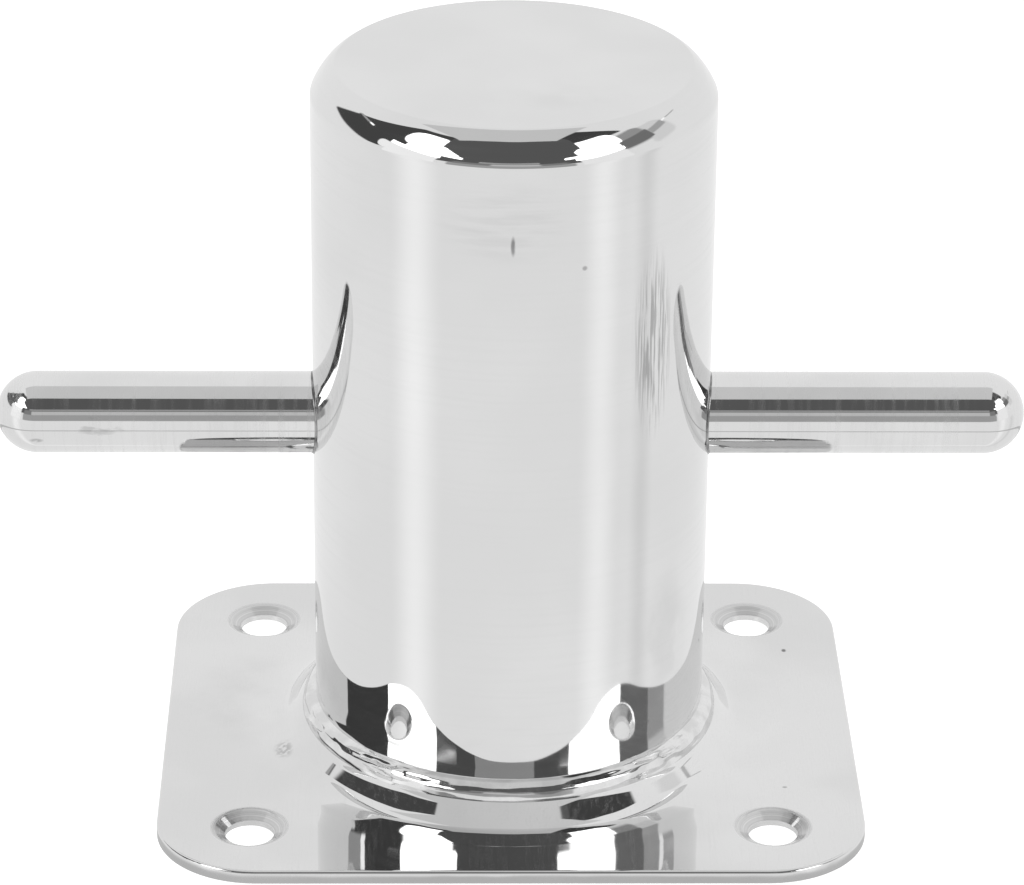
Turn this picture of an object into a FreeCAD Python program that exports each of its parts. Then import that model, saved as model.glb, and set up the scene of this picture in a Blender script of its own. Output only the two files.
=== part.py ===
import FreeCAD, Part
import math
import os

# Mooring bollard: a hollow post on a pressed base plate, crossed by a solid pin.
# Millimetres. Origin at the middle of the base plate's underside, +Z up, the pin along X.

# Base plate
plate_length = 106.5
plate_width = 93.0
plate_thickness = 2.0
plate_corner_radius = 15.5
plate_edge_round = 0.5

# Raised collar pressed up round the post's foot: a shallow run-up, a steep flank, a round shoulder
collar_height = 3.9
collar_foot_radius = 38.4
collar_foot_blend = 20.0
run_up_slope_deg = 8.0
flank_foot_radius = 35.4
flank_foot_blend = 4.5
flank_slope_deg = 43.5
shoulder_blend = 4.05

# Fixing holes, countersunk from the top
hole_spacing_x = 78.5
hole_spacing_y = 66.5
hole_diameter = 7.4
countersink_diameter = 11.3
countersink_angle_deg = 118.0

# Post
post_diameter = 60.0
post_wall = 2.0
post_height = 111.5
cap_thickness = 2.0
cap_skirt = 2.0

# Rounded edge of the cap: four arcs, each turning the surface by its own angle
hem_radius = 2.4
hem_turn_deg = 25.5
bevel_radius = 12.0
bevel_turn_deg = 15.0
shoulder_radius = 5.6
shoulder_turn_deg = 20.5
crown_radius = 0.8
crown_turn_deg = 29.0

# Weld seam between cap and tube, ground flush
seam_width_outside = 2.4
seam_width_inside = 0.8

# Cross pin
pin_diameter = 12.4
pin_length = 155.5
pin_height = 55.0
pin_hole_clearance = 0.1
pin_weld_leg = 0.7

# Bead round the post's foot, from the post's wall down to the collar's flank
foot_bead_width = 2.1
foot_bead_height = 2.3
foot_bead_bulge = 0.6
foot_clearance = 0.1

# Places worked out from the sizes above
post_radius = post_diameter / 2
bore_radius = post_radius - post_wall
pin_radius = pin_diameter / 2
collar_top = plate_thickness + collar_height
collar_hole_radius = post_radius + foot_clearance
cap_edge_arcs = (
    (hem_radius, hem_turn_deg),
    (bevel_radius, bevel_turn_deg),
    (shoulder_radius, shoulder_turn_deg),
    (crown_radius, crown_turn_deg),
)
axis_up = FreeCAD.Vector(0, 0, 1)
axis_x = FreeCAD.Vector(1, 0, 0)


def point(radius, height):
    return FreeCAD.Vector(radius, 0, height)


def rounded_corner(before, corner, after, radius):
    """The two tangent points and the middle of the arc that rounds one corner of a profile."""
    way_in = (before - corner).normalize()
    way_out = (after - corner).normalize()
    half_angle = way_in.getAngle(way_out) / 2
    reach = radius / math.tan(half_angle)
    start = corner + way_in * reach
    end = corner + way_out * reach
    bisector = (way_in + way_out).normalize()
    centre = corner + bisector * (radius / math.sin(half_angle))
    middle = centre - bisector * radius
    return start, middle, end


def profile_wire(corners):
    """A closed wire through (radius, height, rounding) corners, each rounded by its own arc."""
    spots = [point(radius, height) for radius, height, rounding in corners]
    edges = []
    pen = None
    first = None
    for index, (radius, height, rounding) in enumerate(corners):
        before = spots[index - 1]
        corner = spots[index]
        after = spots[(index + 1) % len(spots)]
        if rounding > 0:
            start, middle, end = rounded_corner(before, corner, after, rounding)
        else:
            start, middle, end = corner, None, corner
        if pen is None:
            first = start
        else:
            edges.append(Part.makeLine(pen, start))
        if middle is not None:
            edges.append(Part.Arc(start, middle, end).toShape())
        pen = end
    edges.append(Part.makeLine(pen, first))
    return Part.Wire(edges)


def turned(corners):
    """The solid of revolution of a profile about the post's axis."""
    face = Part.Face(profile_wire(corners))
    return face.revolve(FreeCAD.Vector(0, 0, 0), axis_up, 360)


def rounded_slab():
    """The flat sheet with its rounded corners and its top edge softened by polishing."""
    slab = Part.makeBox(plate_length, plate_width, plate_thickness,
                        FreeCAD.Vector(-plate_length / 2, -plate_width / 2, 0))
    upright = [edge for edge in slab.Edges
               if abs(edge.tangentAt(edge.FirstParameter).z) > 0.99]
    slab = slab.makeFillet(plate_corner_radius, upright)
    rim = [edge for edge in slab.Edges
           if edge.BoundBox.ZMin > plate_thickness - 0.01]
    return slab.makeFillet(plate_edge_round, rim)


def under(corner, slope_before_deg, slope_after_deg):
    """The corner of the sheet's underside below a corner of its upper side."""
    middle = math.radians((slope_before_deg + slope_after_deg) / 2)
    half_turn = math.radians((slope_after_deg - slope_before_deg) / 2)
    depth = plate_thickness / math.cos(half_turn)
    return corner - point(math.sin(middle), math.cos(middle)) * depth


def collar_corners():
    """The collar's upper side: its foot, the foot of its steep flank, and its shoulder."""
    foot = point(collar_foot_radius, plate_thickness)
    run = collar_foot_radius - flank_foot_radius
    rise = run * math.tan(math.radians(run_up_slope_deg))
    flank_foot = point(flank_foot_radius, plate_thickness + rise)
    climb = collar_height - rise
    shoulder = point(flank_foot_radius - climb / math.tan(math.radians(flank_slope_deg)), collar_top)
    return foot, flank_foot, shoulder


def collar_outer_edge():
    """Where the flat sheet ends and the collar's piece of the sheet begins."""
    return collar_foot_radius + collar_foot_blend * math.tan(math.radians(run_up_slope_deg / 2)) + 1


def collar():
    """The pressed collar as sheet of even thickness, from the plate's plane up to the post's hole."""
    foot, flank_foot, shoulder = collar_corners()
    foot_under = under(foot, 0, run_up_slope_deg)
    flank_under = under(flank_foot, run_up_slope_deg, flank_slope_deg)
    shoulder_under = under(shoulder, flank_slope_deg, 0)
    outer_edge = collar_outer_edge()
    return turned([
        (collar_hole_radius, collar_top, 0),
        (shoulder.x, shoulder.z, shoulder_blend),
        (flank_foot.x, flank_foot.z, flank_foot_blend),
        (foot.x, foot.z, collar_foot_blend),
        (outer_edge, plate_thickness, 0),
        (outer_edge, 0, 0),
        (foot_under.x, foot_under.z, 0),
        (flank_under.x, flank_under.z, 0),
        (shoulder_under.x, shoulder_under.z, 0),
        (collar_hole_radius, shoulder_under.z, 0),
    ])


def countersunk_hole(x, y):
    """The drill and its countersink at one corner of the fixing pattern."""
    drill = Part.makeCylinder(hole_diameter / 2, 3 * plate_thickness,
                              FreeCAD.Vector(x, y, -plate_thickness))
    sink_radius = countersink_diameter / 2
    depth = (sink_radius - hole_diameter / 2) / math.tan(math.radians(countersink_angle_deg / 2))
    above = plate_thickness
    widening = above * math.tan(math.radians(countersink_angle_deg / 2))
    sink = Part.makeCone(hole_diameter / 2, sink_radius + widening, depth + above,
                         FreeCAD.Vector(x, y, plate_thickness - depth))
    return drill.fuse(sink)


def base_plate():
    opening = Part.makeCylinder(collar_outer_edge(), plate_thickness)
    plate = rounded_slab().cut(opening).fuse(collar()).removeSplitter()
    for side_x in (-1, 1):
        for side_y in (-1, 1):
            plate = plate.cut(countersunk_hole(side_x * hole_spacing_x / 2,
                                               side_y * hole_spacing_y / 2))
    return plate


def cross_pin():
    """A round bar with hemispherical ends."""
    straight = pin_length - pin_diameter
    start = FreeCAD.Vector(-straight / 2, 0, pin_height)
    bar = Part.makeCylinder(pin_radius, straight, start, axis_x)
    for side in (-1, 1):
        end = FreeCAD.Vector(side * straight / 2, 0, pin_height)
        bar = bar.fuse(Part.makeSphere(pin_radius, end))
    return bar.removeSplitter()


def pin_hole():
    """The drilling across the post that the pin passes through."""
    length = post_diameter + 2 * post_wall
    start = FreeCAD.Vector(-length / 2, 0, pin_height)
    return Part.makeCylinder(pin_radius + pin_hole_clearance, length, start, axis_x)


def cap_edge_drop():
    """How far the cap's rounded edge reaches down below its flat top."""
    drop = 0
    turned_deg = 0
    for radius, turn_deg in cap_edge_arcs:
        start_sine = math.sin(math.radians(turned_deg))
        turned_deg += turn_deg
        drop += radius * (math.sin(math.radians(turned_deg)) - start_sine)
    return drop


def seam_height():
    return post_height - cap_edge_drop() - cap_skirt


def on_arc(centre, radius, tilt_deg):
    tilt = math.radians(tilt_deg)
    return centre + point(radius * math.cos(tilt), radius * math.sin(tilt))


def cap_edge(start):
    """The arcs of the cap's edge, from the post's wall up to the flat top."""
    edges = []
    spot = start
    tilt_deg = 0
    for radius, turn_deg in cap_edge_arcs:
        centre = spot - point(radius * math.cos(math.radians(tilt_deg)),
                              radius * math.sin(math.radians(tilt_deg)))
        middle = on_arc(centre, radius, tilt_deg + turn_deg / 2)
        tilt_deg += turn_deg
        end = on_arc(centre, radius, tilt_deg)
        edges.append(Part.Arc(spot, middle, end).toShape())
        spot = end
    return edges, spot


def post_tube():
    tube = turned([
        (bore_radius, 0, 0),
        (post_radius, 0, 0),
        (post_radius, seam_height() - seam_width_outside / 2, 0),
        (bore_radius, seam_height() - seam_width_inside / 2, 0),
    ])
    return tube.cut(pin_hole())


def post_cap():
    """The pressed cap with its rounded edge, bevelled below for the seam."""
    rim = point(post_radius, seam_height() + seam_width_outside / 2)
    wall_end = point(post_radius, post_height - cap_edge_drop())
    edge_arcs, flat_start = cap_edge(wall_end)
    underside = post_height - cap_thickness
    inner_rim = point(bore_radius, seam_height() + seam_width_inside / 2)
    path = [
        flat_start,
        point(0, post_height),
        point(0, underside),
        point(bore_radius, underside),
        inner_rim,
        rim,
        wall_end,
    ]
    straight = [Part.makeLine(start, end) for start, end in zip(path, path[1:])]
    face = Part.Face(Part.Wire(straight + edge_arcs))
    return face.revolve(FreeCAD.Vector(0, 0, 0), axis_up, 360)


def cap_weld():
    half_outside = seam_width_outside / 2
    half_inside = seam_width_inside / 2
    return turned([
        (bore_radius, seam_height() - half_inside, 0),
        (post_radius, seam_height() - half_outside, 0),
        (post_radius, seam_height() + half_outside, 0),
        (bore_radius, seam_height() + half_inside, 0),
    ])


def flank_at(radius):
    """The point on the collar's rounded shoulder or flank at a radius."""
    shoulder = collar_corners()[2]
    half_slope = math.radians(flank_slope_deg / 2)
    blend_start = shoulder.x - shoulder_blend * math.tan(half_slope)
    blend_end = blend_start + shoulder_blend * math.sin(2 * half_slope)
    if radius < blend_end:
        across = radius - blend_start
        height = collar_top - shoulder_blend + math.sqrt(shoulder_blend ** 2 - across ** 2)
    else:
        height = collar_top - (radius - shoulder.x) * math.tan(2 * half_slope)
    return point(radius, height)


def foot_weld():
    """The bead in the corner between the post's wall and the collar, wrapped over the collar's shoulder."""
    inner_toe = point(post_radius, collar_top + foot_bead_height)
    outer_toe = flank_at(post_radius + foot_bead_width)
    below_toe = outer_toe - point(0, plate_thickness / 2)
    below_root = point(post_radius, below_toe.z)
    chord = outer_toe - inner_toe
    outwards = point(-chord.z, chord.x).normalize()
    crown = (inner_toe + outer_toe) * 0.5 + outwards * foot_bead_bulge
    wire = Part.Wire([
        Part.makeLine(below_root, below_toe),
        Part.makeLine(below_toe, outer_toe),
        Part.Arc(outer_toe, crown, inner_toe).toShape(),
        Part.makeLine(inner_toe, below_root),
    ])
    ring = Part.Face(wire).revolve(FreeCAD.Vector(0, 0, 0), axis_up, 360)
    gap = Part.makeCylinder(collar_hole_radius, collar_top)
    return ring.cut(collar()).cut(gap)


def pin_weld(side):
    """The small bead that follows the saddle curve where the pin leaves the post."""
    reach = post_radius + 4 * pin_radius
    below = pin_height - 3 * pin_radius
    block = Part.makeCylinder(post_radius, 6 * pin_radius, FreeCAD.Vector(0, 0, below))
    stub = Part.makeCylinder(pin_radius, reach, FreeCAD.Vector(0, 0, pin_height), axis_x * side)
    joined = block.fuse(stub)
    saddle = [edge for edge in joined.Edges if is_saddle(edge, side)]
    welded = joined.makeChamfer(pin_weld_leg, saddle)
    return welded.cut(block).cut(stub)


def is_saddle(edge, side):
    """True for an edge that lies on the post's wall and on the pin's surface at once."""
    for share in (0.1, 0.5, 0.9):
        spot = edge.valueAt(edge.FirstParameter + share * (edge.LastParameter - edge.FirstParameter))
        off_post = abs(math.hypot(spot.x, spot.y) - post_radius)
        off_pin = abs(math.hypot(spot.y, spot.z - pin_height) - pin_radius)
        if off_post > 0.01 or off_pin > 0.01 or spot.x * side < 0:
            return False
    return True


parts = {
    "base_plate": base_plate(),
    "post_tube": post_tube(),
    "post_cap": post_cap(),
    "cap_weld": cap_weld(),
    "foot_weld": foot_weld(),
    "cross_pin": cross_pin(),
    "pin_weld_left": pin_weld(-1),
    "pin_weld_right": pin_weld(1),
}

os.makedirs("parts", exist_ok=True)
for name, shape in parts.items():
    solid = shape.Solids[0] if len(shape.Solids) == 1 else shape
    solid.exportStep(os.path.join("parts", name + ".step"))
    box = solid.BoundBox
    print(name, "solids", len(shape.Solids), "valid", shape.isValid(), "volume", round(solid.Volume, 2),
          "z", round(box.ZMin, 3), round(box.ZMax, 3))
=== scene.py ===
import math

import bmesh
import bpy
from mathutils import Matrix, Quaternion, Vector, noise


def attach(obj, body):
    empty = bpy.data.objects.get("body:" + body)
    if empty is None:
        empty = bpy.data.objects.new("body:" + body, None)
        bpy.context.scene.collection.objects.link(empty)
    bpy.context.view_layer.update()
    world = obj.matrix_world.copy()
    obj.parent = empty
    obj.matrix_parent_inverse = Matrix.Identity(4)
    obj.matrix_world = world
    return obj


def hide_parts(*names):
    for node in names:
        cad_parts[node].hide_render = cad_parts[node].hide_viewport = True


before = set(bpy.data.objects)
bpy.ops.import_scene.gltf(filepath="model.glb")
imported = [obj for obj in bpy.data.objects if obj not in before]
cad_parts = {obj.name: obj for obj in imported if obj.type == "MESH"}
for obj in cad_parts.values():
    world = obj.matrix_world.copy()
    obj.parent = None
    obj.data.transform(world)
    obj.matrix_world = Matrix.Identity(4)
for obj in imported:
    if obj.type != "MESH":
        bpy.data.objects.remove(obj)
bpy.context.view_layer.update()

# Mooring bollard in mirror-polished stainless steel, the post's axis on Z, the pin along X.
# The sizes in the dictionaries are millimetres, the meshes are metres.
mm = 0.001
mergeDistance = 1e-7
print("frame loaded")


# Shared helpers

def rounded(start, corner, end, radius, steps):
    # points of the arc that rounds one corner of a profile
    wayIn = (start - corner).normalized()
    wayOut = (end - corner).normalized()
    half = wayIn.angle(wayOut) / 2
    centre = corner + (wayIn + wayOut).normalized() * (radius / math.sin(half))
    first = corner + wayIn * (radius / math.tan(half)) - centre
    last = corner + wayOut * (radius / math.tan(half)) - centre
    return [centre + first.slerp(last, i / steps).normalized() * radius for i in range(steps + 1)]


def profilePoints(corners, steps=10):
    # corners are (radius, height, rounding) in millimetres, the profile stays open
    spots = [Vector((r * mm, 0, h * mm)) for r, h, rounding in corners]
    points = []
    for i, (r, h, rounding) in enumerate(corners):
        if rounding > 0:
            points += rounded(spots[i - 1], spots[i], spots[(i + 1) % len(spots)], rounding * mm, steps)
        else:
            points.append(spots[i])
    return points


def spun(bm, points, turns, closed, axis=(0, 0, 1), centre=(0, 0, 0)):
    # turns one profile into a full ring with a seam that is merged
    verts = [bm.verts.new(p) for p in points]
    pairs = list(zip(verts, verts[1:]))
    if closed:
        pairs.append((verts[-1], verts[0]))
    edges = [bm.edges.new(pair) for pair in pairs]
    bmesh.ops.spin(bm, geom=verts + edges, cent=centre, axis=axis, angle=math.tau,
                   steps=turns, use_merge=True, use_duplicate=False)


def shadeSmooth(bm, creaseAngle):
    for face in bm.faces:
        face.smooth = True
    for edge in bm.edges:
        edge.smooth = edge.calc_face_angle(0) < math.radians(creaseAngle)


def linked(bm, name):
    mesh = bpy.data.meshes.new(name)
    bm.to_mesh(mesh)
    bm.free()
    piece = bpy.data.objects.new(name, mesh)
    bpy.context.scene.collection.objects.link(piece)
    return piece


def finished(bm, name, creaseAngle=30.0):
    # closes the seams, turns the faces outwards, shades smooth with sharp creases kept
    bmesh.ops.remove_doubles(bm, verts=bm.verts, dist=mergeDistance)
    bmesh.ops.recalc_face_normals(bm, faces=bm.faces)
    shadeSmooth(bm, creaseAngle)
    return linked(bm, name)


def cutAway(piece, cutter):
    # the cutter is a helper object that goes once the cut is applied
    cut = piece.modifiers.new("cut", "BOOLEAN")
    cut.operation = "DIFFERENCE"
    cut.solver = "EXACT"
    cut.object = cutter
    applyModifiers(piece)
    bpy.data.objects.remove(cutter, do_unlink=True)


def applyModifiers(piece):
    bpy.context.view_layer.update()
    shaped = piece.evaluated_get(bpy.context.evaluated_depsgraph_get())
    mesh = bpy.data.meshes.new_from_object(shaped)
    old = piece.data
    piece.modifiers.clear()
    piece.data = mesh
    mesh.name = piece.name
    bpy.data.meshes.remove(old)


def markCreases(piece, creaseAngle):
    bm = bmesh.new()
    bm.from_mesh(piece.data)
    bmesh.ops.remove_doubles(bm, verts=bm.verts, dist=mergeDistance)
    shadeSmooth(bm, creaseAngle)
    bm.to_mesh(piece.data)
    bm.free()


def flattenShading(piece):
    # large flat faces set the normals at their borders, so mirrors stay flat up to a rounded edge
    weighted = piece.modifiers.new("flat shading", "WEIGHTED_NORMAL")
    weighted.mode = "FACE_AREA"
    weighted.weight = 50
    weighted.keep_sharp = True


def place(piece, slotName, *nodes):
    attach(piece, "root")
    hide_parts(*nodes)


# Base plate: pressed sheet with a raised collar and four countersunk holes

plateSizes = {
    "length": 106.5, "width": 93.0, "thickness": 2.0, "cornerRadius": 15.5, "cornerSteps": 24,
    "edgeRound": 0.5, "edgeSteps": 6, "holeSpacingX": 78.5, "holeSpacingY": 66.5, "holeRadius": 3.7,
    "sinkRadius": 5.65, "sinkAngle": 118.0, "sinkRimRound": 0.6, "sinkSteps": 8, "holeTurns": 96,
    # the collar, from the flat plate inwards: lead-in, run-up, flank, shoulder, hole
    "flatMargin": 1.0, "leadFoot": 42.2, "leadBlend": 130.0, "leadSlope": 1.3,
    "collarFoot": 38.2, "footBlend": 20.0, "runUpSlope": 8.0,
    "flankFoot": 35.4, "flankBlend": 4.5, "flankSlope": 43.5,
    "collarHeight": 3.9, "shoulderBlend": 4.05, "collarHole": 30.1, "collarSteps": 12, "turns": 512,
    "ripple": 0.02, "rippleGrain": 330, "rippleEdge": 1.0, "creaseAngle": 26,
}


def under(corner, slopeBefore, slopeAfter, thickness):
    # the corner of the sheet's underside below a corner of its upper side
    middle = math.radians((slopeBefore + slopeAfter) / 2)
    depth = thickness / math.cos(math.radians((slopeAfter - slopeBefore) / 2))
    return (corner[0] - math.sin(middle) * depth, corner[1] - math.cos(middle) * depth)


def collarCorners(s):
    lead = (s["leadFoot"], s["thickness"])
    foot = (s["collarFoot"], lead[1] + (lead[0] - s["collarFoot"]) * math.tan(math.radians(s["leadSlope"])))
    rise = (s["collarFoot"] - s["flankFoot"]) * math.tan(math.radians(s["runUpSlope"]))
    flankFoot = (s["flankFoot"], foot[1] + rise)
    top = s["thickness"] + s["collarHeight"]
    climb = (top - flankFoot[1]) / math.tan(math.radians(s["flankSlope"]))
    return lead, foot, flankFoot, (s["flankFoot"] - climb, top)


def collarProfile(s):
    lead, foot, flankFoot, shoulder = collarCorners(s)
    outer = s["leadFoot"] + s["leadBlend"] * math.tan(math.radians(s["leadSlope"] / 2)) + s["flatMargin"]
    footUnder = under(foot, s["leadSlope"], s["runUpSlope"], s["thickness"])
    flankUnder = under(flankFoot, s["runUpSlope"], s["flankSlope"], s["thickness"])
    shoulderUnder = under(shoulder, s["flankSlope"], 0, s["thickness"])
    return profilePoints([
        (outer, s["thickness"], 0),
        (*lead, s["leadBlend"]),
        (*foot, s["footBlend"]),
        (*flankFoot, s["flankBlend"]),
        (*shoulder, s["shoulderBlend"]),
        (s["collarHole"], shoulder[1], 0),
        (s["collarHole"], shoulderUnder[1], 0),
        (*shoulderUnder, 0),
        (*flankUnder, 0),
        (*footUnder, 0),
        (*under(lead, 0, s["leadSlope"], s["thickness"]), 0),
        (outer, 0, 0),
    ], s["collarSteps"])


def holeWall(s):
    # from the flat top over a softened rim, down the countersink and through the drilling
    depth = (s["sinkRadius"] - s["holeRadius"]) / math.tan(math.radians(s["sinkAngle"] / 2))
    reach = s["sinkRimRound"]
    return profilePoints([
        (s["sinkRadius"] + reach, s["thickness"], 0),
        (s["sinkRadius"], s["thickness"], reach / math.tan(math.radians(90 - s["sinkAngle"] / 2) / 2)),
        (s["holeRadius"], s["thickness"] - depth, 0),
        (s["holeRadius"], 0, 0),
    ], s["sinkSteps"])


def borderAt(bm, height):
    return [e for e in bm.edges if e.is_boundary and all(abs(v.co.z - height) < 1e-6 for v in e.verts)]


def roughenFlank(bm, s):
    # hand polishing leaves the pressed flank a little wavy
    start = s["collarHole"] + s["rippleEdge"]
    reach = s["flankFoot"] - s["collarHole"]
    for vert in bm.verts:
        along = (math.hypot(vert.co.x, vert.co.y) / mm - start) / reach
        if 0 < along < 1 and vert.co.z > s["thickness"] * mm:
            depth = s["ripple"] * math.sin(math.pi * along)
            vert.co.z += noise.noise(vert.co * s["rippleGrain"]) * depth * mm


def makeBasePlate(s):
    bm = bmesh.new()
    bmesh.ops.create_grid(bm, x_segments=1, y_segments=1, size=0.5)
    bmesh.ops.scale(bm, verts=bm.verts, vec=(s["length"] * mm, s["width"] * mm, 1))
    bmesh.ops.bevel(bm, geom=bm.verts[:], offset=s["cornerRadius"] * mm, offset_type="OFFSET",
                    segments=s["cornerSteps"], profile=0.5, affect="VERTICES", material=-1)
    raised = bmesh.ops.extrude_face_region(bm, geom=bm.faces[:])["geom"]
    topVerts = [v for v in raised if isinstance(v, bmesh.types.BMVert)]
    bmesh.ops.translate(bm, verts=topVerts, vec=(0, 0, s["thickness"] * mm))
    topEdges = [e for e in bm.edges if all(v.co.z > s["thickness"] * mm / 2 for v in e.verts)]
    bmesh.ops.bevel(bm, geom=topEdges, offset=s["edgeRound"] * mm, offset_type="OFFSET",
                    segments=s["edgeSteps"], profile=0.5, affect="EDGES", material=-1)
    # both flats are opened, and filled again round the collar and the holes
    flats = [f for f in bm.faces if abs(f.normal.z) > 0.999]
    bmesh.ops.delete(bm, geom=flats, context="FACES_ONLY")
    spun(bm, collarProfile(s), s["turns"], False)
    roughenFlank(bm, s)
    for sideX in (-1, 1):
        for sideY in (-1, 1):
            spot = Vector((sideX * s["holeSpacingX"] / 2 * mm, sideY * s["holeSpacingY"] / 2 * mm, 0))
            spun(bm, [p + spot for p in holeWall(s)], s["holeTurns"], False, centre=spot)
    bmesh.ops.remove_doubles(bm, verts=bm.verts, dist=mergeDistance)
    for height in (0, s["thickness"] * mm):
        bmesh.ops.triangle_fill(bm, edges=borderAt(bm, height), use_beauty=True, use_dissolve=False)
    return finished(bm, "basePlate", s["creaseAngle"])


basePlate = makeBasePlate(plateSizes)
flattenShading(basePlate)
place(basePlate, "plate_steel", "base_plate")
print("base plate done")


# Cross pin: solid bar with hemispherical ends

pinSizes = {
    "radius": 6.2, "length": 155.5, "height": 55.0, "turns": 160, "endSteps": 24, "creaseAngle": 60,
}


def makeCrossPin(s):
    bm = bmesh.new()
    reach = s["length"] / 2 - s["radius"]
    points = []
    for i in range(s["endSteps"] + 1):
        angle = math.pi / 2 * i / s["endSteps"]
        across = -reach - s["radius"] * math.cos(angle)
        points.append(Vector((across, 0, s["radius"] * math.sin(angle))) * mm)
    for i in range(s["endSteps"] + 1):
        angle = math.pi / 2 * (1 - i / s["endSteps"])
        across = reach + s["radius"] * math.cos(angle)
        points.append(Vector((across, 0, s["radius"] * math.sin(angle))) * mm)
    spun(bm, points, s["turns"], False, (1, 0, 0))
    bmesh.ops.translate(bm, verts=bm.verts, vec=(0, 0, s["height"] * mm))
    return finished(bm, "crossPin", s["creaseAngle"])


crossPin = makeCrossPin(pinSizes)
place(crossPin, "pin_steel", "cross_pin")
print("pin done")


# Post: drilled tube, rounded cap and the polished seam between them

postSizes = {
    "radius": 30.0, "wall": 2.0, "height": 111.5, "seamHeight": 104.48, "capThickness": 2.0,
    # each arc of the cap's edge: radius, tilt at its start and at its end
    "capArcs": ((0.8, 90.0, 61.0), (5.6, 61.0, 40.5), (12.0, 40.5, 25.5), (2.4, 25.5, 0.0)),
    "arcSteps": 14, "seamOutside": 2.4, "seamInside": 0.8, "turns": 256, "creaseAngle": 30,
    # rings of the tube, close together where the drilling cuts them
    "rings": (0, 7, 20, 32, 44, 47, 50, 53, 57, 60, 63, 66, 78, 92),
    "holeClearance": 0.1, "drillTurns": 96, "drillReach": 2.4,
}


def capEdge(s):
    # four arcs that follow one another, from the flat top down to the wall
    steps = []
    for radius, fromTilt, toTilt in s["capArcs"]:
        for i in range(s["arcSteps"]):
            first = math.radians(fromTilt + (toTilt - fromTilt) * i / s["arcSteps"])
            last = math.radians(fromTilt + (toTilt - fromTilt) * (i + 1) / s["arcSteps"])
            chord = Vector((math.cos(last) - math.cos(first), 0, math.sin(last) - math.sin(first)))
            steps.append(chord * radius)
    reach = sum((step.x for step in steps), 0.0)
    spot = Vector((s["radius"] - reach, 0, s["height"]))
    points = [spot.copy()]
    for step in steps:
        spot = spot + step
        points.append(spot.copy())
    return points


def makePostTube(s, pin):
    seam = s["seamHeight"]
    inner = s["radius"] - s["wall"]
    points = [Vector((s["radius"] * mm, 0, z * mm)) for z in s["rings"]]
    points.append(Vector((s["radius"] * mm, 0, (seam - s["seamOutside"] / 2) * mm)))
    points.append(Vector((inner * mm, 0, (seam - s["seamInside"] / 2) * mm)))
    points += [Vector((inner * mm, 0, z * mm)) for z in reversed(s["rings"])]
    bm = bmesh.new()
    spun(bm, points, s["turns"], True)
    tube = finished(bm, "postTube")
    drill = bmesh.new()
    drillRadius = (pin["radius"] + s["holeClearance"]) * mm
    across = Matrix.Translation((0, 0, pin["height"] * mm)) @ Matrix.Rotation(math.pi / 2, 4, "Y")
    bmesh.ops.create_cone(drill, cap_ends=True, segments=s["drillTurns"], radius1=drillRadius,
                          radius2=drillRadius, depth=s["drillReach"] * s["radius"] * mm, matrix=across)
    cutAway(tube, finished(drill, "drill"))
    markCreases(tube, s["creaseAngle"])
    return tube


def makeCap(s):
    inner = s["radius"] - s["wall"]
    ceiling = s["height"] - s["capThickness"]
    points = [Vector((0, 0, s["height"]))] + capEdge(s)
    points.append(Vector((s["radius"], 0, s["seamHeight"] + s["seamOutside"] / 2)))
    points.append(Vector((inner, 0, s["seamHeight"] + s["seamInside"] / 2)))
    points += [Vector((inner, 0, ceiling)), Vector((0, 0, ceiling))]
    bm = bmesh.new()
    spun(bm, [p * mm for p in points], s["turns"], False)
    return finished(bm, "postCap")


def makeSeam(s):
    seam = s["seamHeight"]
    inner = s["radius"] - s["wall"]
    points = profilePoints([
        (s["radius"], seam - s["seamOutside"] / 2, 0),
        (s["radius"], seam + s["seamOutside"] / 2, 0),
        (inner, seam + s["seamInside"] / 2, 0),
        (inner, seam - s["seamInside"] / 2, 0),
    ])
    bm = bmesh.new()
    spun(bm, points, s["turns"], True)
    return finished(bm, "capWeld")


postTube = makePostTube(postSizes, pinSizes)
place(postTube, "post_steel", "post_tube")
postCap = makeCap(postSizes)
flattenShading(postCap)
place(postCap, "post_steel", "post_cap")
capWeld = makeSeam(postSizes)
place(capWeld, "post_steel", "cap_weld")
print("post done")


# Weld bead round the post's foot

footBeadSizes = {
    "inner": 30.0, "width": 2.1, "height": 2.3, "bulge": 0.6, "steps": 14, "turns": 720, "creaseAngle": 60,
    "seatSteps": 6, "seatOverlap": 0.02,
    "unevenness": 0.04, "fadeFromPost": 0.5, "fadeFromCollar": 0.4, "lift": 0.8,
    "grain": {"around": 0.10, "across": 1.1, "outwards": 0.25, "fineScale": 2.3, "fineShare": 0.4},
    # azimuths and spreads in degrees, 0 is the front
    "lumps": ({"azimuth": -76, "spread": 14, "height": 0.35}, {"azimuth": -36, "spread": 11, "height": 0.3},
              {"azimuth": 52, "spread": 16, "height": 0.35}),
}


def flankHeight(s, radius):
    # height of the collar's rounded shoulder or flank at a radius
    x, z = collarCorners(s)[3]
    slope = math.radians(s["flankSlope"])
    start = x - s["shoulderBlend"] * math.tan(slope / 2)
    if radius < start + s["shoulderBlend"] * math.sin(slope):
        return z - s["shoulderBlend"] + math.sqrt(s["shoulderBlend"] ** 2 - (radius - start) ** 2)
    return z - (radius - x) * math.tan(slope)


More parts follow.
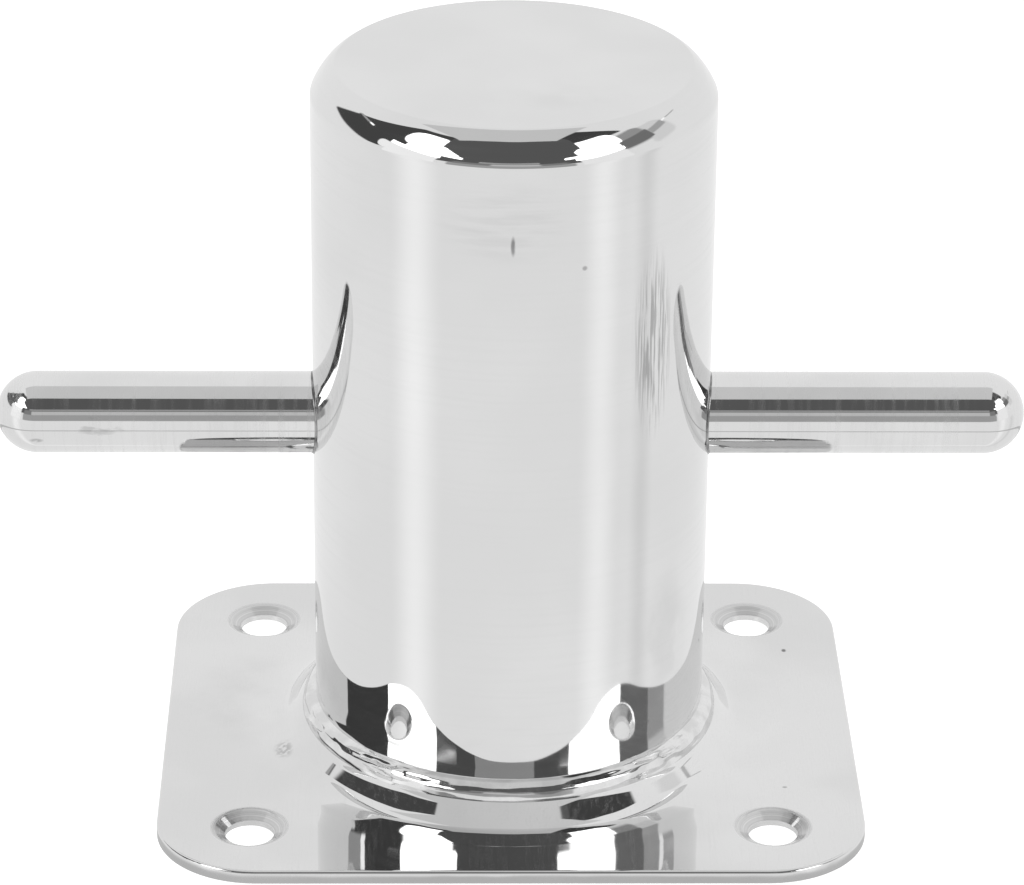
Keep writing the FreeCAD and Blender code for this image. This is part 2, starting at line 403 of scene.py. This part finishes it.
def roughenBead(bm, s, plate):
    # the bead is uneven, most of all where a run was started or ended
    grain = s["grain"]
    for vert in bm.verts:
        radius = math.hypot(vert.co.x, vert.co.y) / mm
        tall = vert.co.z / mm
        fromPost = min(1, max(0, (radius - s["inner"]) / s["fadeFromPost"]))
        fromCollar = min(1, max(0, (tall - flankHeight(plate, radius)) / s["fadeFromCollar"]))
        azimuth = math.degrees(math.atan2(vert.co.x, -vert.co.y))
        height = s["unevenness"]
        for lump in s["lumps"]:
            height += lump["height"] * math.exp(-((azimuth - lump["azimuth"]) / lump["spread"]) ** 2)
        along = Vector((azimuth * grain["around"], (radius - tall) * grain["across"],
                        (radius + tall) * grain["outwards"]))
        swell = noise.noise(along) + grain["fineShare"] * noise.noise(along * grain["fineScale"])
        outwards = Vector((vert.co.x, vert.co.y, s["lift"] * radius * mm)).normalized()
        vert.co += outwards * (swell * height * fromPost * fromCollar * mm)


def makeFootBead(s, plate):
    collarTop = plate["thickness"] + plate["collarHeight"]
    toeRadius = s["inner"] + s["width"]
    innerToe = Vector((s["inner"], 0, collarTop + s["height"])) * mm
    outerToe = Vector((toeRadius, 0, flankHeight(plate, toeRadius))) * mm
    chord = outerToe - innerToe
    out = Vector((-chord.z, 0, chord.x)).normalized()
    points = []
    for i in range(s["steps"] + 1):
        share = i / s["steps"]
        points.append(innerToe + chord * share + out * (4 * share * (1 - share) * s["bulge"] * mm))
    # its seat lies just below the collar's surface
    for i in range(s["seatSteps"] + 1):
        radius = toeRadius + (plate["collarHole"] - toeRadius) * i / s["seatSteps"]
        points.append(Vector((radius, 0, flankHeight(plate, radius) - s["seatOverlap"])) * mm)
    points.append(Vector((s["inner"], 0, collarTop - s["seatOverlap"])) * mm)
    bm = bmesh.new()
    spun(bm, points, s["turns"], True)
    roughenBead(bm, s, plate)
    return finished(bm, "footWeld", s["creaseAngle"])


footWeld = makeFootBead(footBeadSizes, plateSizes)
place(footWeld, "weld_steel", "foot_weld")
print("foot bead done")


# Small beads where the pin leaves the post

pinBeadSizes = {
    "leg": 0.25, "hollow": 0.85, "depth": 0.5, "clearance": 0.02,
    "steps": 6, "turns": 144, "creaseAngle": 50,
}


def makePinBead(s, pin, post, side, name):
    bm = bmesh.new()
    points = []
    for i in range(s["steps"] + 1):
        angle = math.pi / 2 * i / s["steps"]
        away = s["leg"] * (1 - s["hollow"] * math.sin(angle))
        out = s["leg"] * (1 - s["hollow"] * math.cos(angle))
        points.append(Vector((side * away, 0, pin["radius"] + out)) * mm)
    points.append(Vector((-side * s["depth"], 0, pin["radius"] + s["leg"])) * mm)
    points.append(Vector((-side * s["depth"], 0, pin["radius"] + s["clearance"])) * mm)
    spun(bm, points, s["turns"], True, (1, 0, 0))
    # the ring is laid onto the round post
    for vert in bm.verts:
        vert.co.x += side * math.sqrt((post["radius"] * mm) ** 2 - vert.co.y ** 2)
    bmesh.ops.translate(bm, verts=bm.verts, vec=(0, 0, pin["height"] * mm))
    return finished(bm, name, s["creaseAngle"])


pinWeldLeft = makePinBead(pinBeadSizes, pinSizes, postSizes, -1, "pinWeldLeft")
place(pinWeldLeft, "weld_steel", "pin_weld_left")
pinWeldRight = makePinBead(pinBeadSizes, pinSizes, postSizes, 1, "pinWeldRight")
place(pinWeldRight, "weld_steel", "pin_weld_right")
print("pin beads done")


# Shader node helpers

def mathNode(nodes, links, operation, *values):
    node = nodes.new("ShaderNodeMath")
    node.operation = operation
    for i, value in enumerate(values):
        if isinstance(value, (int, float)):
            node.inputs[i].default_value = value
        else:
            links.new(value, node.inputs[i])
    return node.outputs[0]


def ramp(nodes, links, value, low, high):
    node = nodes.new("ShaderNodeMapRange")
    node.interpolation_type = "SMOOTHSTEP"
    node.inputs["From Min"].default_value = low
    node.inputs["From Max"].default_value = high
    links.new(value, node.inputs["Value"])
    return node.outputs["Result"]


def mixLevel(nodes, links, share, low, high):
    node = nodes.new("ShaderNodeMix")
    node.data_type = "FLOAT"
    for name, value in (("Factor", share), ("A", low), ("B", high)):
        socket = next(i for i in node.inputs if i.name == name and i.enabled)
        if isinstance(value, (int, float)):
            socket.default_value = value
        else:
            links.new(value, socket)
    return next(o for o in node.outputs if o.enabled)


def noiseFac(nodes, links, place, scale, detail, stretch=(1, 1, 1)):
    # cloudy noise, drawn out along the axes whose stretch is small
    mapping = nodes.new("ShaderNodeMapping")
    mapping.inputs["Scale"].default_value = stretch
    links.new(place, mapping.inputs["Vector"])
    cloud = nodes.new("ShaderNodeTexNoise")
    cloud.inputs["Scale"].default_value = scale
    cloud.inputs["Detail"].default_value = detail
    links.new(mapping.outputs[0], cloud.inputs["Vector"])
    return cloud.outputs["Fac"]


def vectorSteps(nodes, links, spot, steps):
    # vector nodes in a row, a step is the operation and its second value, if it has one
    for operation, value in steps:
        step = nodes.new("ShaderNodeVectorMath")
        step.operation = operation
        links.new(spot, step.inputs[0])
        if value:
            step.inputs[1].default_value = value
        spot = step.outputs["Value" if operation == "LENGTH" else "Vector"]
    return spot


def grey(nodes, links, level):
    colour = nodes.new("ShaderNodeCombineColor")
    for channel in ("Red", "Green", "Blue"):
        links.new(level, colour.inputs[channel])
    return colour.outputs[0]


def spotShare(nodes, links, place, centre, size):
    # 1 in the middle of a soft ellipsoid, 0 outside it, both in millimetres
    away = vectorSteps(nodes, links, place, (
        ("SUBTRACT", [c * mm for c in centre]),
        ("DIVIDE", [c * mm for c in size]),
        ("LENGTH", None),
    ))
    solid = 0.35
    return ramp(nodes, links, away, 1.0, solid)


def sinkShare(nodes, links, place, s):
    # the distance to the nearest hole's axis in millimetres, and 1 inside its countersink and down its
    # hole's wall
    away = vectorSteps(nodes, links, place, (
        ("ABSOLUTE", None),
        ("SUBTRACT", (s["centre"][0] * mm, s["centre"][1] * mm, 0)),
        ("MULTIPLY", (1 / mm, 1 / mm, 0)),
        ("LENGTH", None),
    ))
    return away, ramp(nodes, links, away, s["radius"] + s["fadeOut"], s["radius"] - s["fadeIn"])


# Materials: mirror polish with clouds, fine polishing lines, ripples and a few marks

polish = {
    "cloudEdges": (0.38, 0.62), "cloudDetail": 3, "lineEdges": (0.45, 0.7), "lineDetail": 3,
    "hazeInClouds": 0.7, "hazeEverywhere": 0.3, "wornRoughness": 0.38, "rippleDetail": 2,
}

# the tone goes from dark to light with the clouds, the roughness from smooth to worn
# haze is the share of dull steel along the polishing lines
# a mark is a soft ellipsoid, given in millimetres, in which its grain changes the tone
steelLooks = {
    "postSteel": {
        "dark": 0.715, "light": 0.75, "cloud": 28,
        "lines": 1100, "stretch": (0.03, 0.03, 1.0), "lineTone": 0.003,
        "smooth": 0.02, "worn": 0.05, "haze": 0.03, "ripple": 60, "rippleDepth": 0.10,
        "marks": (
            {"centre": (20, -22, 76.5), "size": (4.6, 4.6, 17), "tone": -0.30, "grain": 2600,
             "stretch": (1, 1, 0.05), "from": 0.44, "to": 0.60},
            {"centre": (-2, -30, 98.5), "size": (12, 6, 8), "tone": -0.05, "grain": 900,
             "stretch": (0.12, 0.12, 1), "from": 0.35, "to": 0.7},
            {"centre": (-0.5, -30, 95), "size": (0.45, 2, 1.9), "tone": -0.4, "grain": 900,
             "stretch": (1, 1, 0.3), "from": 0.3, "to": 0.5},
            {"centre": (23, -19, 26), "size": (7, 7, 15), "tone": -0.06, "grain": 140,
             "stretch": (1, 1, 0.6), "from": 0.4, "to": 0.65},
            {"centre": (5.7, -13.2, 111.5), "size": (14, 7, 3), "tone": -0.035, "grain": 120,
             "stretch": (1, 1, 1), "from": 0.3, "to": 0.7},
            {"centre": (9.8, -28.4, 91), "size": (0.5, 0.8, 0.5), "tone": -0.3, "grain": 900,
             "stretch": (1, 1, 1), "from": 0.1, "to": 0.3},
        ),
    },
    "plateSteel": {
        "dark": 0.70, "light": 0.75, "cloud": 32,
        "lines": 1300, "stretch": (1.0, 0.08, 1.0), "lineTone": 0.004,
        "smooth": 0.02, "worn": 0.05, "haze": 0.10, "ripple": 60, "rippleDepth": 0.03,
        # tool rings in the countersinks; on the hole walls the same tone is painted shade
        "sinks": {
            "centre": (plateSizes["holeSpacingX"] / 2, plateSizes["holeSpacingY"] / 2),
            "radius": plateSizes["sinkRadius"] + 0.25, "fadeOut": 0.1, "fadeIn": 0.3,
            "rings": 5.0, "ringTone": 0.9, "tone": -0.53, "haze": 0.6,
        },
        "marks": (
            {"centre": (-34.5, -10.3, 2), "size": (2.2, 3.2, 1.5), "tone": -0.25, "grain": 1300,
             "stretch": (1, 1, 1), "from": 0.36, "to": 0.60},
            {"centre": (44.6, 22.6, 2), "size": (0.5, 0.7, 1), "tone": -0.5, "grain": 900,
             "stretch": (1, 1, 1), "from": 0.1, "to": 0.3},
            {"centre": (41.8, -21.5, 2), "size": (0.5, 0.4, 1), "tone": -0.3, "grain": 900,
             "stretch": (1, 1, 1), "from": 0.1, "to": 0.3},
            {"centre": (-42, 6, 2), "size": (12, 16, 3), "tone": -0.04, "grain": 110,
             "stretch": (1, 1, 1), "from": 0.35, "to": 0.65},
            {"centre": (0, 0, 2), "size": (52, 52, 60), "tone": 0.05, "grain": 90,
             "stretch": (1, 1, 1), "from": 0.35, "to": 0.6},
        ),
    },
    "pinSteel": {
        "dark": 0.72, "light": 0.76, "cloud": 60,
        "lines": 900, "stretch": (1.0, 0.06, 0.06), "lineTone": 0.01,
        "smooth": 0.02, "worn": 0.07, "haze": 0.32, "ripple": 60, "rippleDepth": 0.02,
        "marks": (
            {"centre": (-62, -6, 55.2), "size": (5.5, 2.5, 2.2), "tone": -0.16, "grain": 700,
             "stretch": (0.4, 1, 1), "from": 0.52, "to": 0.66},
            {"centre": (-71.4, -5.8, 52.9), "size": (1.3, 1.5, 0.5), "tone": -0.25, "grain": 900,
             "stretch": (1, 1, 1), "from": 0.2, "to": 0.4},
        ),
    },
    "weldSteel": {
        "dark": 0.68, "light": 0.78, "cloud": 300,
        "lines": 900, "stretch": (1.0, 1.0, 1.0), "lineTone": 0.03,
        "smooth": 0.03, "worn": 0.10, "haze": 0.12, "ripple": 330, "rippleDepth": 0.03,
        "marks": (),
    },
    # the pin beads are painted dark all round: painted shade for the crevice where the pin meets the post
    "creviceShadeSteel": {
        "dark": 0.16, "light": 0.42, "cloud": 500,
        "lines": 900, "stretch": (1.0, 1.0, 1.0), "lineTone": 0.03,
        "smooth": 0.08, "worn": 0.25, "haze": 0.12, "ripple": 700, "rippleDepth": 0.03,
        "marks": (),
    },
}


def polishedSteel(name, s):
    material = bpy.data.materials.new(name)
    material.use_nodes = True
    nodes = material.node_tree.nodes
    links = material.node_tree.links
    place = nodes.new("ShaderNodeTexCoord").outputs["Object"]
    cloud = noiseFac(nodes, links, place, s["cloud"], polish["cloudDetail"])
    cloud = ramp(nodes, links, cloud, *polish["cloudEdges"])
    lines = noiseFac(nodes, links, place, s["lines"], polish["lineDetail"], s["stretch"])
    level = mixLevel(nodes, links, cloud, s["dark"], s["light"])
    fine = mathNode(nodes, links, "SUBTRACT", lines, 0.5)
    level = mathNode(nodes, links, "MULTIPLY_ADD", fine, 2 * s["lineTone"], level)
    haze = mathNode(nodes, links, "MULTIPLY", ramp(nodes, links, lines, *polish["lineEdges"]), s["haze"])
    clouded = mathNode(nodes, links, "MULTIPLY_ADD", cloud, polish["hazeInClouds"], polish["hazeEverywhere"])
    haze = mathNode(nodes, links, "MULTIPLY", haze, clouded)
    for mark in s["marks"]:
        grain = noiseFac(nodes, links, place, mark["grain"], polish["lineDetail"], mark["stretch"])
        spot = spotShare(nodes, links, place, mark["centre"], mark["size"])
        share = mathNode(nodes, links, "MULTIPLY", spot,
                         ramp(nodes, links, grain, mark["from"], mark["to"]))
        level = mathNode(nodes, links, "MULTIPLY_ADD", share, mark["tone"], level)
    if "sinks" in s:
        # the countersinks keep the rings of the tool that turned them. The same tone runs down the hole
        # walls, where it is painted shade: a dark line at each hole's far rim
        sinks = s["sinks"]
        away, share = sinkShare(nodes, links, place, sinks)
        alongRadius = nodes.new("ShaderNodeCombineXYZ")
        links.new(away, alongRadius.inputs["X"])
        rings = noiseFac(nodes, links, alongRadius.outputs[0], sinks["rings"], polish["lineDetail"])
        rings = mathNode(nodes, links, "MULTIPLY_ADD", rings, sinks["ringTone"], sinks["tone"])
        level = mathNode(nodes, links, "MULTIPLY_ADD", share, rings, level)
        turned = mathNode(nodes, links, "MULTIPLY", share, sinks["haze"])
        haze = mathNode(nodes, links, "MAXIMUM", haze, turned)
    colour = grey(nodes, links, level)
    ripple = nodes.new("ShaderNodeBump")
    ripple.inputs["Distance"].default_value = s["rippleDepth"] * mm
    waves = noiseFac(nodes, links, place, s["ripple"], polish["rippleDetail"])
    links.new(waves, ripple.inputs["Height"])
    mirror = nodes["Principled BSDF"]
    worn = nodes.new("ShaderNodeBsdfPrincipled")
    for shader in (mirror, worn):
        shader.inputs["Metallic"].default_value = 1.0
        links.new(colour, shader.inputs["Base Color"])
        links.new(ripple.outputs[0], shader.inputs["Normal"])
    links.new(mixLevel(nodes, links, cloud, s["smooth"], s["worn"]), mirror.inputs["Roughness"])
    worn.inputs["Roughness"].default_value = polish["wornRoughness"]
    both = nodes.new("ShaderNodeMixShader")
    links.new(haze, both.inputs[0])
    links.new(mirror.outputs[0], both.inputs[1])
    links.new(worn.outputs[0], both.inputs[2])
    links.new(both.outputs[0], nodes["Material Output"].inputs["Surface"])
    return material


def dress(look, *pieces):
    material = polishedSteel(look, steelLooks[look])
    for piece in pieces:
        piece.data.materials.clear()
        piece.data.materials.append(material)


dress("plateSteel", basePlate)
dress("pinSteel", crossPin)
dress("postSteel", postTube, postCap, capWeld)
dress("weldSteel", footWeld)
# the pin beads get the dark look, painted shade in the crevice round the pin
dress("creviceShadeSteel", pinWeldLeft, pinWeldRight)
print("materials done")


# Floor and surroundings

floorLook = {"halfWidth": 4.0, "grey": 0.6, "glow": 0.8}


def makeFloor(s):
    # the steel doesn't mirror it, because the surroundings have a floor of their own
    bm = bmesh.new()
    bmesh.ops.create_grid(bm, x_segments=1, y_segments=1, size=s["halfWidth"])
    floor = linked(bm, "floor")
    floor.visible_glossy = False
    material = bpy.data.materials.new("floor")
    material.use_nodes = True
    nodes = material.node_tree.nodes
    links = material.node_tree.links
    shader = nodes["Principled BSDF"]
    shader.inputs["Base Color"].default_value = (s["grey"], s["grey"], s["grey"], 1)
    shader.inputs["Roughness"].default_value = 1.0
    shader.inputs["Specular IOR Level"].default_value = 0.0
    glow = nodes.new("ShaderNodeEmission")
    glow.inputs["Strength"].default_value = s["glow"]
    both = nodes.new("ShaderNodeAddShader")
    links.new(shader.outputs[0], both.inputs[0])
    links.new(glow.outputs[0], both.inputs[1])
    links.new(both.outputs[0], nodes["Material Output"].inputs["Surface"])
    floor.data.materials.append(material)


makeFloor(floorLook)

# Surroundings that the steel mirrors: angles in degrees seen from the post, 0 is the camera's side
roomSizes = {
    "backdrop": 0.95, "floorLevel": 0.96, "horizon": -2.0, "horizonSoft": 1.0,
    "ceiling": {"level": 0.70, "left": -0.50, "right": 0.36, "front": -0.53, "back": 0.19, "soft": 0.01},
    # a panel covers those above it in this list
    "panels": (
        # darker strip of floor
        {"level": 0.60, "azimuth": (-200, 200), "height": (-32.6, -29.9), "soft": 0.2, "round": 0.3},
        # dark screens on the left, on the right and in front
        {"level": 0.07, "azimuth": (-104.5, -60), "height": (14.5, 58), "lean": 1.0,
         "soft": 0.8, "round": 2},
        {"level": 0.07, "azimuth": (-112, -66), "height": (26.5, 32), "soft": 0.3, "round": 0.5},
        {"level": 0.06, "azimuth": (36, 82), "height": (46, 80), "soft": 1, "round": 3},
        {"level": 0.115, "azimuth": (-46, 38), "height": (16, 61), "soft": 1, "round": 2},
        # grey walls on the right
        {"level": 0.80, "azimuth": (86, 105), "height": (17, 40), "soft": 1.5, "round": 4},
        {"level": 0.36, "azimuth": (66, 89), "height": (24, 43), "soft": 1.5, "round": 4},
        # lit walls beside the front screen
        {"level": 1.14, "azimuth": (-84, -45), "height": (17, 26), "soft": 0.5, "round": 4},
        {"level": 1.14, "azimuth": (-77, -45), "height": (-2, 28), "soft": 0.6, "round": 1},
        {"level": 1.05, "azimuth": (37, 68), "height": (-2, 34), "soft": 0.6, "round": 1},
        # windows on both sides, with straight sills
        {"level": 3.0, "azimuth": (-74, -44), "height": (33, 51), "soft": 0.8, "round": 8},
        {"level": 3.0, "azimuth": (-68, -31), "height": (29.8, 32.5), "soft": 0.4, "round": 1},
        {"level": 3.0, "azimuth": (-68, -33), "height": (30, 49), "soft": 0.8, "round": 7},
        {"level": 3.0, "azimuth": (37, 71), "height": (30, 50), "soft": 0.8, "round": 8},
        {"level": 3.0, "azimuth": (29, 68), "height": (29.8, 32.5), "soft": 0.4, "round": 1},
        # the front screen again, over and between the windows
        {"level": 0.115, "azimuth": (-48, 43), "height": (41, 61), "soft": 0.6, "round": 2},
        {"level": 0.115, "azimuth": (-39.3, 0), "height": (31.6, 43), "lean": -1.5,
         "soft": 0.5, "round": 0.6},
        {"level": 0.115, "azimuth": (0, 35.6), "height": (31.6, 43), "lean": 1.2,
         "soft": 0.5, "round": 0.6},
        # low dark edge of the right wall
        {"level": 0.20, "azimuth": (67, 90), "height": (25, 35), "soft": 0.7, "round": 0.7},
        {"level": 0.45, "azimuth": (90, 104), "height": (27.5, 33), "soft": 0.7, "round": 0.7},
        # what stands in front of the screen, from its top down
        {"level": 0.115, "azimuth": (-44, 35), "height": (26, 29.9), "soft": 0.2, "round": 0.3},
        {"level": 0.42, "azimuth": (-21, 14), "height": (26.5, 29.8), "soft": 0.2, "round": 1},
        {"level": 0.25, "azimuth": (-36, 30), "height": (8, 26), "soft": 2, "round": 3},
        {"level": 0.62, "azimuth": (-14, 14), "height": (13, 24), "soft": 1.5, "round": 2},
        {"level": 0.42, "azimuth": (-38, 33), "height": (-2, 14.5), "soft": 1, "round": 1},
        # strips of light under the windows
        {"level": 3.0, "azimuth": (-77, -44), "height": (26.5, 29.8), "soft": 0.2, "round": 0.3},
        {"level": 3.0, "azimuth": (35, 68), "height": (26.5, 29.8), "soft": 0.2, "round": 0.3},
        # thin lines at both sides, the pale and grey outline of the shapes that the plate mirrors
        {"level": 1.60, "azimuth": (-101, -97), "height": (30.2, 31.6), "soft": 0.3, "round": 0.5},
        {"level": 0.45, "azimuth": (-113, -101), "height": (30.2, 31.6), "soft": 0.3, "round": 0.5},
        {"level": 1.30, "azimuth": (104, 108), "height": (30.2, 31.6), "soft": 0.3, "round": 0.5},
        {"level": 0.50, "azimuth": (108, 120), "height": (30.2, 31.6), "soft": 0.3, "round": 0.5},
    ),
    # window light and shade on the floor
    "floorGlints": (
        {"gain": 0.19, "azimuth": -58, "spread": 18},
        {"gain": 0.15, "azimuth": 51, "spread": 14},
        {"gain": -0.12, "azimuth": 80, "spread": 10},
    ),
}


def panelShare(nodes, links, azimuth, height, panel):
    # 1 inside a panel with rounded corners, 0 outside it, a leaning panel shifts sideways as it rises
    low = (panel["azimuth"][0], panel["height"][0])
    high = (panel["azimuth"][1], panel["height"][1])
    middle = [(a + b) / 2 for a, b in zip(low, high)]
    straight = [(b - a) / 2 - panel["round"] for a, b in zip(low, high)]
    if panel.get("lean"):
        upright = mathNode(nodes, links, "SUBTRACT", height, middle[1])
        azimuth = mathNode(nodes, links, "MULTIPLY_ADD", upright, -panel["lean"], azimuth)
    joined = nodes.new("ShaderNodeCombineXYZ")
    links.new(azimuth, joined.inputs["X"])
    links.new(height, joined.inputs["Y"])
    away = vectorSteps(nodes, links, joined.outputs[0], (
        ("SUBTRACT", (*middle, 0)),
        ("ABSOLUTE", None),
        ("SUBTRACT", (*straight, 0)),
        ("MAXIMUM", (0, 0, 0)),
        ("LENGTH", None),
    ))
    return ramp(nodes, links, away, panel["round"] + panel["soft"], panel["round"] - panel["soft"])


def makeRoom(s):
    world = bpy.data.worlds.new("studio")
    bpy.context.scene.world = world
    world.use_nodes = True
    nodes = world.node_tree.nodes
    links = world.node_tree.links
    direction = nodes.new("ShaderNodeSeparateXYZ")
    links.new(nodes.new("ShaderNodeTexCoord").outputs["Generated"], direction.inputs[0])
    towards = mathNode(nodes, links, "MULTIPLY", direction.outputs["Y"], -1.0)
    azimuth = mathNode(nodes, links, "DEGREES",
                       mathNode(nodes, links, "ARCTAN2", direction.outputs["X"], towards))
    height = mathNode(nodes, links, "DEGREES", mathNode(nodes, links, "ARCSINE", direction.outputs["Z"]))
    floorPart = s["floorLevel"]
    for glint in s["floorGlints"]:
        away = mathNode(nodes, links, "SUBTRACT", azimuth, glint["azimuth"])
        near = ramp(nodes, links, mathNode(nodes, links, "ABSOLUTE", away), glint["spread"], 0)
        floorPart = mathNode(nodes, links, "MULTIPLY_ADD", near, glint["gain"], floorPart)
    overHorizon = ramp(nodes, links, height, s["horizon"] - s["horizonSoft"], s["horizon"])
    level = mixLevel(nodes, links, overHorizon, floorPart, s["backdrop"])
    for panel in s["panels"]:
        share = panelShare(nodes, links, azimuth, height, panel)
        level = mixLevel(nodes, links, share, level, panel["level"])
    # the ceiling is a rectangle overhead, given by how far its edges lie sideways at unit height
    lowest = 0.01
    above = mathNode(nodes, links, "MAXIMUM", direction.outputs["Z"], lowest)
    sideways = mathNode(nodes, links, "DIVIDE", direction.outputs["X"], above)
    backwards = mathNode(nodes, links, "DIVIDE", direction.outputs["Y"], above)
    ceiling = s["ceiling"]
    share = 1.0
    for value, edge, inwards in ((sideways, ceiling["left"], 1), (sideways, ceiling["right"], -1),
                                 (backwards, ceiling["front"], 1), (backwards, ceiling["back"], -1)):
        soft = ceiling["soft"] * inwards
        inside = ramp(nodes, links, value, edge - soft, edge + soft)
        share = mathNode(nodes, links, "MULTIPLY", share, inside)
    level = mixLevel(nodes, links, share, level, ceiling["level"])
    background = nodes["Background"]
    links.new(grey(nodes, links, level), background.inputs["Color"])
    plain = nodes.new("ShaderNodeBackground")
    plain.inputs["Color"].default_value = (1, 1, 1, 1)
    picked = nodes.new("ShaderNodeMixShader")
    # the camera sees plain white past the floor
    links.new(nodes.new("ShaderNodeLightPath").outputs["Is Camera Ray"], picked.inputs[0])
    links.new(background.outputs[0], picked.inputs[1])
    links.new(plain.outputs[0], picked.inputs[2])
    links.new(picked.outputs[0], nodes["World Output"].inputs["Surface"])


makeRoom(roomSizes)
print("stage done")


# Camera at the photograph's view: distance in metres, angles in degrees

viewFrom = {
    "distance": 0.70778, "elevation": 25.581, "azimuth": -1.0915, "roll": 0.5317,
    "aimX": 0.166 * mm, "aimZ": 49.866 * mm, "lens": 163.826, "sensor": 36,
}


def makeCamera(s):
    elevation = math.radians(s["elevation"])
    azimuth = math.radians(s["azimuth"])
    back = Vector((math.sin(azimuth) * math.cos(elevation), -math.cos(azimuth) * math.cos(elevation),
                   math.sin(elevation)))
    aim = Vector((s["aimX"] * math.cos(azimuth), s["aimX"] * math.sin(azimuth), s["aimZ"]))
    data = bpy.data.cameras.new("view")
    data.sensor_width = s["sensor"]
    data.sensor_fit = "HORIZONTAL"
    data.lens = s["lens"]
    camera = bpy.data.objects.new("view", data)
    bpy.context.scene.collection.objects.link(camera)
    camera.location = aim + back * s["distance"]
    turn = back.to_track_quat("Z", "Y") @ Quaternion((0, 0, 1), math.radians(s["roll"]))
    camera.rotation_euler = turn.to_euler()
    bpy.context.scene.camera = camera


makeCamera(viewFrom)
bpy.context.scene.view_settings.view_transform = "Standard"
print("camera done")
